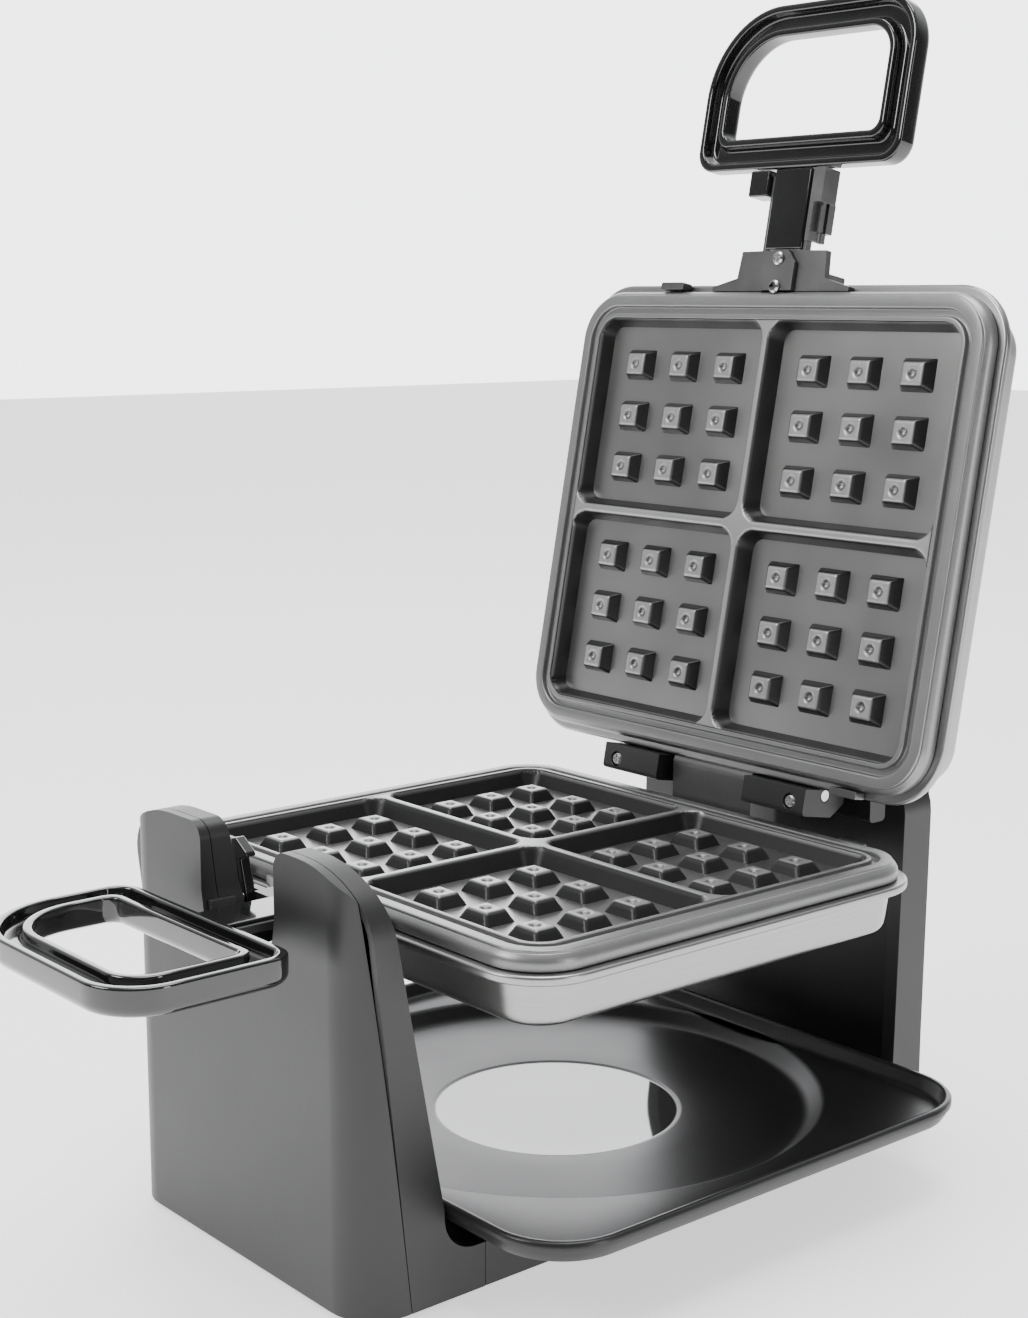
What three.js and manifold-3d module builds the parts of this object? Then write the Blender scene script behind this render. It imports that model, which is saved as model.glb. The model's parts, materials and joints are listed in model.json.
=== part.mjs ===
// Rotating waffle maker with its lid open.
//
// Frame: +X right as seen from the handles, +Y towards the rear hinge, +Z up, millimetres.
// Every piece is built in the machine frame, whose origin is on the floor under the flip axis at
// the middle of the grill plates. The last lines move the whole model so that its origin is the
// middle of the bottom of its box.
//
// The two halves of the clamshell are alike. Each is built in a half frame: z = 0 is the plate's
// rim plane and +z points to the waffle. The upper half is turned over and hangs on the hinge.

import * as THREE from 'three';
import { mergeVertices } from 'three/addons/utils/BufferGeometryUtils.js';
import Module from 'manifold-3d';

const wasm = await Module();
wasm.setup();

// ---------------------------------------------------------------- driving dimensions

const GAP = 0.3;                      // air between pieces that touch
const FLIP_HEIGHT = 137.8;            // flip axis above the floor
const LID_OPEN = 100.8;               // lid angle from closed, degrees
const HINGE_Y = 106;                  // hinge pin behind the middle of the plates
const HINGE_RISE = 13.2;              // hinge pin above the flip axis

// grill plates
const QUARTER_X = 104;                // spacing of the four waffle fields
const QUARTER_Y = 87.3;
const STUD_PITCH_X = 27.7;
const STUD_PITCH_Y = 23.3;
const STUD_ROWS = 3;                  // studs each way in one field
const STUD_TOP = [10.7, 9.4];
const STUD_BASE = [21.7, 17.3];
const STUD_DROP = 2.5;                // stud tops below the rim plane
const FIELD_DEPTH = 11.5;             // field floor below the rim plane
const FIELD_DRAFT = 5;                // slope of the field walls over their depth
const RIB_TOP = 3.5;                  // width of the ribs between the fields
const INNER_LIP = 2;                  // rim bands, from the field outwards
const GROOVE = 3.2;
const GROOVE_DEPTH = 2.4;
const OUTER_LIP = 5;
const SKIRT = 2.2;                    // how far the skirt stands out past the lip
const SKIRT_DEPTH = 7;
const LIP_HEIGHT = 2;
const PLATE_FLOOR = 3.5;
const PLATE_CORNER = 20;

// housings
const FLANGE = 3.6;                   // flange past the plate's skirt
const FLANGE_THICK = 4.5;
const HOUSING_INSET = 6.5;            // body inside the flange
const HOUSING_DEPTH = 28.5;           // rim plane to the bottom of the body
const HOUSING_WALL = 1.5;
const HOUSING_DRAFT = 2.5;

// handles, necks and front brackets
const HANDLE_HALF = 57.2;             // half the width of a handle
const HANDLE_REAR = 152;              // distances in front of the plate centre
const HANDLE_FRONT = 222;
const HANDLE_BAND = 13.5;             // width of the loop's bar
const HANDLE_TOP = 1;                 // below the rim plane
const HANDLE_THICK = 11;
const RIDGE = 3;                      // width of the ridges along the bar's edges
const CHANNEL_DEPTH = 5;
const NECK_HALF = 12.3;
const BRACKET_HALF = 24;
const BRACKET_FOOT = 39;
const BRACKET_REACH = 117;
const BRACKET_TOP = 3.9;              // below the rim plane
const APRON_REACH = 108;
const TAB_HALF = 9;
const SCREW_HEAD = 2.9;
const SCREW_SHANK = 1.5;
const SCREW_SPACING = 12;

// hinge
const KNUCKLE_HALF = 23.4;
const PIN_RADIUS = 2.5;
const EAR_INNER = 25.6;
const EAR_OUTER = 60;
const EAR_TAIL = 9;                   // ears and cross bar, behind the hinge pin
const BAR_BACK = 16.6;
const BAR_THICK = 9.4;
const SHAFT_RADIUS = 9;
const SHAFT_BORE = 5;
const SHAFT_CLEARANCE = 0.3;

// base
const BASE_HALF = 78;                 // half the width of the towers
const BASE_X = -5;                    // middle of the towers beside the flip axis
const FOOT_HEIGHT = 2;
const FLOOR_THICK = 3;
const SHELL_WALL = 3;
const TOWER_CORNER = 19;              // round of the covers' upright edges
const TOWER_TOP = 163;
const HORN_ROUND_X = 36;              // round of the horns' outer top corners
const HORN_ROUND_Z = 24;
const NOTCH_LEFT = -25.5;
const NOTCH_RIGHT = 22.5;
const NOTCH_ROUND = 7;
const FRONT_FACE = 139;
const FRONT_SEAM = { low: 117.5, high: 135.2 };   // at the floor and at the top of the tower
const FRONT_INNER = { low: 96.4, high: 127.6 };
const REAR_CLEARANCE = 6;             // rear tower's inner face behind the cross bar, at the floor
const REAR_LEAN = 4;                  // how far that face leans back by the top
const REAR_SHELL = { low: 18, high: 17 };         // inner face to seam
const REAR_DEPTH = 31;                // inner face to the rear face
const SIDE_STRIP = 6.5;               // width of the strips beside the inner wall
const WALL_RECESS = 9;                // inner wall set back between the side strips
const BEAM_HEIGHT = 19;
const FOOT_REACH = 85;                // the front tower's side feet end here

// drip tray
const TRAY_HALF_X = 129;
const TRAY_HALF_Y = 114.3;
const TRAY_Y = 12.5;                     // tray centre behind the plate centre
const TRAY_CORNER = 30;
const TRAY_RIM = 38;                  // rim above the floor
const TRAY_LIP = 3;
const TRAY_WALL = 2;
const TRAY_FLOOR = 31.8;
const WELL_RADIUS = 109.5;
const WELL_STEP_RADIUS = 100;
const WELL_STEP = 25;
const DISC_RADIUS = 50.5;
const DISC_HEIGHT = 22.5;

// ---------------------------------------------------------------- values that follow

const ARC = 5;                                        // segments of a quarter round
const rimHeight = FLIP_HEIGHT - GAP;                  // lower plate's rim above the floor
const fieldX = QUARTER_X - GAP;                       // outer edge of the fields, at the rim
const fieldY = QUARTER_Y;
const lipX = fieldX + INNER_LIP + GROOVE + OUTER_LIP;
const lipY = fieldY + INNER_LIP + GROOVE + OUTER_LIP;
const skirtX = lipX + SKIRT;
const skirtY = lipY + SKIRT;
const flangeX = skirtX + FLANGE;
const flangeY = skirtY + FLANGE;
const bodyX = flangeX - HOUSING_INSET;
const bodyY = flangeY - HOUSING_INSET;
const flangeTop = -SKIRT_DEPTH - GAP;                 // half-frame heights
const flangeBottom = flangeTop - FLANGE_THICK;
const EAR_REACH = HINGE_Y + EAR_TAIL;
const BAR_FRONT = HINGE_Y + BAR_BACK;
const YOKE_REAR = BAR_FRONT + BAR_THICK;
const REAR_INNER = {
  low: YOKE_REAR + REAR_CLEARANCE, high: YOKE_REAR + REAR_CLEARANCE + REAR_LEAN,
};
const REAR_SEAM = {
  low: REAR_INNER.low + REAR_SHELL.low, high: REAR_INNER.high + REAR_SHELL.high,
};
const REAR_FACE = REAR_INNER.low + REAR_DEPTH;
const hingeZ = HINGE_RISE + GAP;                      // hinge pin in the lower half frame
const tongueFront = skirtY + 0.7;
const floorTop = FOOT_HEIGHT + FLOOR_THICK;
const handleFloor = -HANDLE_TOP - HANDLE_THICK;

const finishes = {
  black: { color: 0x1c1c1d, roughness: 0.45, metalness: 0 },
  gloss: { color: 0x101011, roughness: 0.12, metalness: 0 },
  tray: { color: 0x232324, roughness: 0.5, metalness: 0 },
  plate: { color: 0x8d8d8c, roughness: 0.38, metalness: 0.6 },
  steel: { color: 0xa9a9a8, roughness: 0.3, metalness: 1 },
  bracket: { color: 0x9b9b9a, roughness: 0.35, metalness: 0.9 },
  screw: { color: 0xb5b5b4, roughness: 0.25, metalness: 1 },
  rubber: { color: 0x151515, roughness: 0.9, metalness: 0 },
  brass: { color: 0xb08d4a, roughness: 0.4, metalness: 1 },
};

// ---------------------------------------------------------------- solids

// A geometry as a manifold solid.
function solid(geometry) {
  const bare = geometry.clone();
  bare.deleteAttribute('normal');
  bare.deleteAttribute('uv');
  const merged = mergeVertices(bare, 1e-4);
  return new wasm.Manifold(new wasm.Mesh({
    numProp: 3,
    vertProperties: Float32Array.from(merged.attributes.position.array),
    triVerts: Uint32Array.from(merged.index.array),
  }));
}

function geometryOf(manifold) {
  const mesh = manifold.getMesh();
  const geometry = new THREE.BufferGeometry();
  const position = new Float32Array(mesh.numVert * 3);
  for (let i = 0; i < mesh.numVert; i += 1) {
    for (let k = 0; k < 3; k += 1) position[3 * i + k] = mesh.vertProperties[mesh.numProp * i + k];
  }
  geometry.setAttribute('position', new THREE.BufferAttribute(position, 3));
  geometry.setIndex(new THREE.BufferAttribute(Uint32Array.from(mesh.triVerts), 1));
  geometry.computeVertexNormals();
  return geometry;
}

function union(...parts) {
  return parts.reduce((all, part) => all.add(part));
}

// A box between two values on each axis.
function block(x, y, z) {
  const geometry = new THREE.BoxGeometry(x[1] - x[0], y[1] - y[0], z[1] - z[0]);
  geometry.translate((x[0] + x[1]) / 2, (y[0] + y[1]) / 2, (z[0] + z[1]) / 2);
  return solid(geometry);
}

function extrude(shape, depth, curveSegments = ARC) {
  return new THREE.ExtrudeGeometry(shape, { depth, bevelEnabled: false, curveSegments });
}

// A plan outline raised from z0 to z1.
function slab(shape, z0, z1) {
  const geometry = extrude(shape, z1 - z0);
  geometry.translate(0, 0, z0);
  return solid(geometry);
}

// A plan outline raised from z0 to z1, whose bottom is drawn in towards a centre by two amounts.
function drafted(shape, z0, z1, inX, inY, centre = [0, 0]) {
  const geometry = extrude(shape, z1 - z0);
  const position = geometry.attributes.position;
  geometry.computeBoundingBox();
  const half = [geometry.boundingBox.max.x - centre[0], geometry.boundingBox.max.y - centre[1]];
  for (let i = 0; i < position.count; i += 1) {
    const low = position.getZ(i) < (z1 - z0) / 2;
    const sx = low ? 1 - inX / half[0] : 1;
    const sy = low ? 1 - inY / half[1] : 1;
    position.setXY(
      i,
      centre[0] + (position.getX(i) - centre[0]) * sx,
      centre[1] + (position.getY(i) - centre[1]) * sy,
    );
  }
  geometry.translate(0, 0, z0);
  return solid(geometry);
}

// An outline drawn in the YZ plane, carried along X.
function alongX(shape, x0, x1) {
  const geometry = extrude(shape, x1 - x0);
  geometry.rotateX(Math.PI / 2);
  geometry.rotateZ(Math.PI / 2);
  geometry.translate(x0, 0, 0);
  return solid(geometry);
}

// An outline drawn in the XZ plane, carried along Y.
function alongY(shape, y0, y1) {
  const geometry = extrude(shape, y1 - y0);
  geometry.rotateX(Math.PI / 2);
  geometry.translate(0, y1, 0);
  return solid(geometry);
}

// A cylinder along one axis through a point, between two values on that axis.
function rod(axis, radius, a, b, at, segments = 24) {
  const geometry = new THREE.CylinderGeometry(radius, radius, b - a, segments);
  if (axis === 'x') geometry.rotateZ(Math.PI / 2).translate((a + b) / 2, at[0], at[1]);
  if (axis === 'y') geometry.translate(at[0], (a + b) / 2, at[1]);
  if (axis === 'z') geometry.rotateX(Math.PI / 2).translate(at[0], at[1], (a + b) / 2);
  return solid(geometry);
}

// A profile of [radius, z] points turned about the upright line through a point.
function turned(profile, at, segments = 32) {
  const geometry = new THREE.LatheGeometry(profile.map(([r, z]) => new THREE.Vector2(r, z)), segments);
  geometry.rotateX(Math.PI / 2);
  geometry.translate(at[0], at[1], 0);
  return solid(geometry);
}

// ---------------------------------------------------------------- outlines

function polygon(points) {
  return new THREE.Shape(points.map(([x, y]) => new THREE.Vector2(x, y)));
}

// A rectangle between two corners, with a radius for each corner, from the lower left one round.
function roundedBox(x0, x1, y0, y1, radii) {
  const [a, b, c, d] = Array.isArray(radii) ? radii : [radii, radii, radii, radii];
  const shape = new THREE.Shape();
  shape.moveTo(x0 + a, y0);
  shape.lineTo(x1 - b, y0);
  shape.absarc(x1 - b, y0 + b, b, -Math.PI / 2, 0);
  shape.lineTo(x1, y1 - c);
  shape.absarc(x1 - c, y1 - c, c, 0, Math.PI / 2);
  shape.lineTo(x0 + d, y1);
  shape.absarc(x0 + d, y1 - d, d, Math.PI / 2, Math.PI);
  shape.lineTo(x0, y0 + a);
  shape.absarc(x0 + a, y0 + a, a, Math.PI, Math.PI * 1.5);
  return shape;
}

function roundedRect(halfX, halfY, radius) {
  return roundedBox(-halfX, halfX, -halfY, halfY, radius);
}

// ---------------------------------------------------------------- clamshell pieces, half frame

function stud(x, y) {
  const height = FIELD_DEPTH - STUD_DROP + GAP;
  const geometry = new THREE.BoxGeometry(STUD_BASE[0], STUD_BASE[1], height);
  const position = geometry.attributes.position;
  for (let i = 0; i < position.count; i += 1) {
    if (position.getZ(i) < 0) continue;
    position.setXY(
      i,
      (position.getX(i) * STUD_TOP[0]) / STUD_BASE[0],
      (position.getY(i) * STUD_TOP[1]) / STUD_BASE[1],
    );
  }
  geometry.translate(x, y, -STUD_DROP - height / 2);
  return solid(geometry);
}

function grillPlate() {
  const rim = slab(roundedRect(lipX, lipY, PLATE_CORNER), -LIP_HEIGHT - GAP, 0);
  const skirt = slab(roundedRect(skirtX, skirtY, PLATE_CORNER + SKIRT), -SKIRT_DEPTH, -LIP_HEIGHT);
  const panX = fieldX + 1;
  const panY = fieldY + 1;
  const pan = slab(roundedRect(panX, panY, PLATE_CORNER - OUTER_LIP), -FIELD_DEPTH - PLATE_FLOOR, -GAP);
  let plate = union(rim, skirt, pan);
  const grooveInX = fieldX + INNER_LIP;
  const grooveInY = fieldY + INNER_LIP;
  const corner = PLATE_CORNER - OUTER_LIP;
  const ring = slab(roundedRect(grooveInX + GROOVE, grooveInY + GROOVE, corner), -GROOVE_DEPTH, 1)
    .subtract(slab(roundedRect(grooveInX, grooveInY, corner - GROOVE), -GROOVE_DEPTH - 1, 2));
  plate = plate.subtract(ring);
  for (const sx of [-1, 1]) {
    for (const sy of [-1, 1]) {
      const near = RIB_TOP / 2;
      const x = [sx * near, sx * fieldX].sort((p, q) => p - q);
      const y = [sy * near, sy * fieldY].sort((p, q) => p - q);
      const centre = [(x[0] + x[1]) / 2, (y[0] + y[1]) / 2];
      const field = roundedBox(x[0], x[1], y[0], y[1], 7);
      plate = plate.subtract(drafted(field, -FIELD_DEPTH, 0.01, FIELD_DRAFT, FIELD_DRAFT, centre));
    }
  }
  const middle = (STUD_ROWS - 1) / 2;
  for (const sx of [-0.5, 0.5]) {
    for (const sy of [-0.5, 0.5]) {
      for (let i = 0; i < STUD_ROWS; i += 1) {
        for (let j = 0; j < STUD_ROWS; j += 1) {
          const x = sx * QUARTER_X + (i - middle) * STUD_PITCH_X;
          const y = sy * QUARTER_Y + (j - middle) * STUD_PITCH_Y;
          plate = plate.add(stud(x, y));
        }
      }
    }
  }
  return geometryOf(plate);
}

// Sheet-steel tub with a rolled flange. The flange is notched at the rear for the hinge tongue.
function housing() {
  const corner = PLATE_CORNER + SKIRT + FLANGE;
  const bodyCorner = corner - HOUSING_INSET;
  const flange = slab(roundedRect(flangeX, flangeY, corner), flangeBottom, flangeTop);
  const body = drafted(
    roundedRect(bodyX, bodyY, bodyCorner), -HOUSING_DEPTH, flangeBottom + GAP, HOUSING_DRAFT, HOUSING_DRAFT,
  );
  const hollow = drafted(
    roundedRect(bodyX - HOUSING_WALL, bodyY - HOUSING_WALL, bodyCorner - HOUSING_WALL),
    -HOUSING_DEPTH + HOUSING_WALL, flangeTop + 1, HOUSING_DRAFT, HOUSING_DRAFT,
  );
  const notch = block(
    [-EAR_INNER, EAR_INNER], [tongueFront - GAP, flangeY + 5], [flangeBottom - 1, flangeTop + 1],
  );
  return geometryOf(flange.add(body).subtract(hollow).subtract(notch));
}

// Tubular heater bent into a loop that is open at the rear.
const HEATER_RADIUS = 3.2;
const heaterHeight = -FIELD_DEPTH - PLATE_FLOOR - HEATER_RADIUS - GAP;

function heater() {
  const x = fieldX * 0.72;
  const y = fieldY * 0.72;
  const corner = 22;
  const path = new THREE.CurvePath();
  const at = (px, py) => new THREE.Vector3(px, py, heaterHeight);
  const points = [
    at(-14, y + 18), at(-14, y - 4), at(-30, y), at(-x + corner, y), at(-x, y - corner),
    at(-x, 0), at(-x, -y + corner), at(-x + corner, -y), at(0, -y), at(x - corner, -y),
    at(x, -y + corner), at(x, 0), at(x, y - corner), at(x - corner, y), at(30, y), at(14, y - 4),
    at(14, y + 18),
  ];
  path.add(new THREE.CatmullRomCurve3(points, false, 'centripetal'));
  const section = new THREE.Shape();
  section.absarc(0, 0, HEATER_RADIUS, 0, Math.PI * 2);
  return new THREE.ExtrudeGeometry(section, {
    steps: 32, bevelEnabled: false, extrudePath: path.curves[0], curveSegments: 4,
  });
}

// Shallow sheet pan that turns the heat towards the plate.
function reflector() {
  const x = bodyX - HOUSING_WALL - HOUSING_DRAFT - 3;
  const y = bodyY - HOUSING_WALL - HOUSING_DRAFT - 3;
  const low = -HOUSING_DEPTH + HOUSING_WALL + 1;
  const outer = slab(roundedRect(x, y, 16), low, low + 3);
  return geometryOf(outer.subtract(slab(roundedRect(x - 1, y - 1, 15), low + 0.8, low + 4)));
}

function thermostat() {
  const top = -FIELD_DEPTH - PLATE_FLOOR - GAP;
  return geometryOf(union(
    rod('z', 8, top - 6, top, [0, 0]),
    block([-11, 11], [-2.5, 2.5], [top - 3.5, top - 2.2]),
  ));
}

// Pressed bracket that ties the neck to the housing, with a channel that holds the neck.
function frontBracket(withLug) {
  const rear = -(skirtY + GAP);
  const outline = polygon([
    [-BRACKET_FOOT, rear], [-BRACKET_FOOT, rear - 1.8], [-BRACKET_HALF - 1, rear - 5.5],
    [-BRACKET_HALF, -BRACKET_REACH], [-NECK_HALF, -BRACKET_REACH - 0.2],
    [-NECK_HALF, -HANDLE_REAR + 3], [NECK_HALF, -HANDLE_REAR + 3],
    [NECK_HALF, -BRACKET_REACH - 0.2], [BRACKET_HALF, -BRACKET_REACH],
    [BRACKET_HALF + 1, rear - 5.5], [BRACKET_FOOT, rear - 1.8], [BRACKET_FOOT, rear],
  ]);
  const plate = slab(outline, flangeTop + GAP, -BRACKET_TOP);
  const apron = slab(roundedBox(
    -BRACKET_HALF, BRACKET_HALF, -APRON_REACH, -flangeY - GAP, 1,
  ), flangeBottom - 6, flangeTop + GAP + 0.5);
  const slot = block(
    [-neckInner - GAP, neckInner + GAP], [-HANDLE_REAR, -BRACKET_REACH - GAP], [-30, 1],
  );
  const bracket = union(plate, apron).subtract(slot).subtract(screwHoles(SCREW_SHANK + GAP));
  if (!withLug) return geometryOf(bracket);
  const lug = block([HOOK_X - 3.5, -BRACKET_HALF + 1], hookLug, [HOOK_PIVOT - 3.5, -BRACKET_TOP]);
  return geometryOf(bracket.add(lug)
    .subtract(rod('y', 1.5 + GAP, hookLug[0] - 1, hookLug[1] + 1, [HOOK_X, HOOK_PIVOT], 16)));
}

const neckInner = NECK_HALF - 2;
const screwPlaces = [-(BRACKET_REACH - 3.6), -(BRACKET_REACH - 3.6 - SCREW_SPACING)];

function screwHoles(radius) {
  return union(...screwPlaces.map((y) => rod('z', radius, -40, 5, [0, y], 12)));
}

// Raised strap under the two front screws.
function strap() {
  const rear = -(skirtY + GAP);
  const front = -BRACKET_REACH;
  const outline = polygon([
    [-TAB_HALF, rear], [-TAB_HALF, front + 5], [-TAB_HALF / 2, front], [TAB_HALF / 2, front],
    [TAB_HALF, front + 5], [TAB_HALF, rear],
  ]);
  return geometryOf(slab(outline, strapFloor, strapTop).subtract(screwHoles(SCREW_SHANK + GAP)));
}

const strapFloor = -BRACKET_TOP + GAP;
const strapTop = -1.8;

// Cross-head screw with its head's underside at z = 0 and its shank pointing down.
function screw(length) {
  const head = turned([
    [0, -length], [SCREW_SHANK, -length], [SCREW_SHANK, 0], [SCREW_HEAD, 0],
    [SCREW_HEAD, 0.7], [SCREW_HEAD - 0.8, 1.4], [0, 1.4],
  ], [0, 0], 12);
  const cross = union(
    block([-1.9, 1.9], [-0.35, 0.35], [0.8, 2]), block([-0.35, 0.35], [-1.9, 1.9], [0.8, 2]),
  );
  return geometryOf(head.subtract(cross));
}

// Half-round neck between the bracket and the handle.
function neck() {
  const half = new THREE.Shape();
  const top = -HANDLE_TOP - 1.5;
  half.moveTo(-neckInner, top);
  half.lineTo(-neckInner, -5);
  half.absarc(0, -5, neckInner, Math.PI, 0, false);
  half.lineTo(neckInner, top);
  return geometryOf(alongY(half, -HANDLE_REAR + GAP, -BRACKET_REACH - 2 * GAP));
}

// D-shaped loop. One front corner is rounder than the other: side says which.
function handle(side) {
  const outline = (inset, rear, wide, tight) => roundedBox(
    -HANDLE_HALF + inset, HANDLE_HALF - inset, -HANDLE_FRONT + inset, -HANDLE_REAR - inset,
    side < 0 ? [tight, wide, rear, rear] : [wide, tight, rear, rear],
  );
  const top = -HANDLE_TOP;
  const bar = slab(outline(0, 9, 38, 22), handleFloor, top);
  const opening = slab(outline(HANDLE_BAND, 5, 27, 12), handleFloor - 1, top + 1);
  const channel = slab(outline(RIDGE, 7, 35, 19), top - CHANNEL_DEPTH, top + 1)
    .subtract(slab(outline(HANDLE_BAND - RIDGE, 7, 29, 14), -20, 5));
  return geometryOf(bar.subtract(opening).subtract(channel));
}

// ---------------------------------------------------------------- hinge

// Ear on the lid's rear edge. It runs behind the flange and carries the hinge pin.
function ear(side) {
  const shape = new THREE.Shape();
  const front = -GAP;
  const back = -HOUSING_DEPTH + 3.5;
  const inner = flangeY + GAP;
  shape.moveTo(inner, front);
  shape.lineTo(EAR_REACH - 2, front);
  shape.absarc(EAR_REACH - 2, front - 2, 2, Math.PI / 2, 0, true);
  shape.lineTo(EAR_REACH, back + 7);
  shape.lineTo(EAR_REACH - 6, back);
  shape.lineTo(bodyY + GAP, back);
  shape.lineTo(bodyY + GAP, flangeBottom - GAP);
  shape.lineTo(inner, flangeBottom - GAP);
  const x = side < 0 ? [-EAR_OUTER, -EAR_INNER] : [EAR_INNER, EAR_OUTER];
  const bore = rod('x', PIN_RADIUS + GAP, -80, 80, [HINGE_Y, -HINGE_RISE + GAP], 16);
  const hole = rod('z', SCREW_SHANK + GAP, -9, 5, [side * earScrewX, earScrewY], 12);
  const counterbore = rod('z', SCREW_HEAD + GAP, -2, 5, [side * earScrewX, earScrewY], 20);
  return geometryOf(alongX(shape, x[0], x[1]).subtract(bore).subtract(hole).subtract(counterbore));
}

const earScrewX = EAR_OUTER - 8;
const earScrewY = EAR_REACH - 5;

// Cast yoke at the rear of the lower half: hinge tongue, cross bar and seat of the flip shaft.
const BAR_HALF = 70;
const BAR_TOP = 17.5;

function yoke() {
  const low = -HOUSING_DEPTH + 4.5;
  const shape = new THREE.Shape();
  shape.moveTo(bodyY + GAP, low);
  shape.lineTo(bodyY + GAP, flangeBottom - GAP);
  shape.lineTo(tongueFront, flangeBottom - GAP);
  shape.lineTo(tongueFront, hingeZ);
  shape.absarc(HINGE_Y, hingeZ, HINGE_Y - tongueFront, Math.PI, 0, true);
  shape.lineTo(HINGE_Y * 2 - tongueFront, 6);
  shape.lineTo(BAR_FRONT, 6);
  shape.lineTo(BAR_FRONT, BAR_TOP);
  shape.lineTo(YOKE_REAR, BAR_TOP);
  shape.lineTo(YOKE_REAR, low + 8);
  shape.lineTo(YOKE_REAR - 8, low);
  const centre = alongX(shape, -KNUCKLE_HALF, KNUCKLE_HALF);
  const bar = alongX(roundedBox(BAR_FRONT, YOKE_REAR, 1, BAR_TOP, 2), -BAR_HALF, BAR_HALF);
  const bore = rod('x', PIN_RADIUS + GAP, -80, 80, [HINGE_Y, hingeZ], 16);
  const seat = rod('y', SHAFT_RADIUS + SHAFT_CLEARANCE, YOKE_REAR - 10, YOKE_REAR + 5, [0, GAP], 32);
  return geometryOf(centre.add(bar).subtract(bore).subtract(seat));
}

// ---------------------------------------------------------------- base

// Front view of a tower: rounded top corners and, at the front, the notch for the neck.
function towerFace(inset, notched) {
  const half = BASE_HALF - inset;
  const top = TOWER_TOP - inset;
  const roundX = HORN_ROUND_X - inset;
  const roundZ = HORN_ROUND_Z - inset;
  const shape = new THREE.Shape();
  const east = BASE_X + half;
  const west = BASE_X - half;
  shape.moveTo(west, FOOT_HEIGHT);
  shape.lineTo(east, FOOT_HEIGHT);
  shape.lineTo(east, top - roundZ);
  shape.absellipse(east - roundX, top - roundZ, roundX, roundZ, 0, Math.PI / 2);
  if (notched) {
    const left = NOTCH_LEFT - inset;
    const right = NOTCH_RIGHT + inset;
    const round = NOTCH_ROUND - Math.min(inset, NOTCH_ROUND - 1);
    const cradle = (right - left) / 2;
    const middle = (right + left) / 2;
    shape.lineTo(right + round, top);
    shape.absarc(right + round, top - round, round, Math.PI / 2, Math.PI);
    shape.lineTo(right, FLIP_HEIGHT);
    shape.absarc(middle, FLIP_HEIGHT, cradle, 0, Math.PI, true);
    shape.lineTo(left, top - round);
    shape.absarc(left - round, top - round, round, 0, Math.PI / 2);
  }
  shape.lineTo(west + roundX, top);
  shape.absellipse(west + roundX, top - roundZ, roundX, roundZ, Math.PI / 2, Math.PI);
  shape.lineTo(west, FOOT_HEIGHT);
  return shape;
}

// A side view bounded by two slanting lines, each given as its distance at the floor and top.
function sideView(outer, inner) {
  return polygon([
    [-outer.low, 0], [-inner.low, 0], [-inner.high, TOWER_TOP + 1], [-outer.high, TOWER_TOP + 1],
  ]);
}

const shifted = (line, by) => ({ low: line.low + by, high: line.high + by });

// Outer cover of a tower, facing -Y: a shell open towards the seam.
function towerCover(face, seam, notched) {
  const front = { low: face, high: face };
  const plan = (inset) => slab(roundedBox(
    BASE_X - BASE_HALF + inset, BASE_X + BASE_HALF - inset, -face + inset, 0,
    [TOWER_CORNER - inset, TOWER_CORNER - inset, 0.5, 0.5],
  ), 0, TOWER_TOP + 5);
  const wide = BASE_HALF + 15;
  const outer = alongX(sideView(front, shifted(seam, GAP)), -wide, wide)
    .intersect(alongY(towerFace(0, notched), -face, 0)).intersect(plan(0));
  const room = alongX(sideView(shifted(front, -SHELL_WALL), shifted(seam, -20)), -wide, wide)
    .intersect(alongY(towerFace(SHELL_WALL, notched), -face, 0)).intersect(plan(SHELL_WALL));
  const underside = block([-wide, wide], [-face + SHELL_WALL, 0], [0, floorTop + GAP])
    .intersect(plan(SHELL_WALL));
  return outer.subtract(room).subtract(underside);
}

// Inner shell of a tower, facing +Y: side strips and an inner wall set back between them.
function towerInner(seam, inner, notched) {
  const wide = BASE_HALF + 15;
  const outer = alongX(sideView(seam, inner), -wide, wide)
    .intersect(alongY(towerFace(0, notched), -300, 0));
  const between = [BASE_X - BASE_HALF + SIDE_STRIP, BASE_X + BASE_HALF - SIDE_STRIP];
  const recess = alongX(sideView(shifted(inner, WALL_RECESS), shifted(inner, -5)), -wide, wide)
    .intersect(block(between, [-300, 0], [floorTop, recessTop]));
  const lowRoom = alongX(
    sideView(shifted(seam, 5), shifted(inner, WALL_RECESS + SHELL_WALL)), -wide, wide,
  );
  const hornRoom = alongX(sideView(shifted(seam, 6), shifted(inner, SHELL_WALL)), -wide, wide)
    .intersect(block([-wide, wide], [-300, 0], [recessTop + SHELL_WALL, TOWER_TOP]));
  const room = lowRoom.add(hornRoom).intersect(alongY(towerFace(SHELL_WALL, notched), -300, 0));
  const underside = block(
    [BASE_X - BASE_HALF + SHELL_WALL, BASE_X + BASE_HALF - SHELL_WALL], [-300, 0], [0, floorTop + GAP],
  );
  return outer.subtract(recess).subtract(room).subtract(underside);
}

const recessTop = FLIP_HEIGHT - 30;

function frontCover() {
  return geometryOf(towerCover(FRONT_FACE, FRONT_SEAM, true));
}

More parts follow.
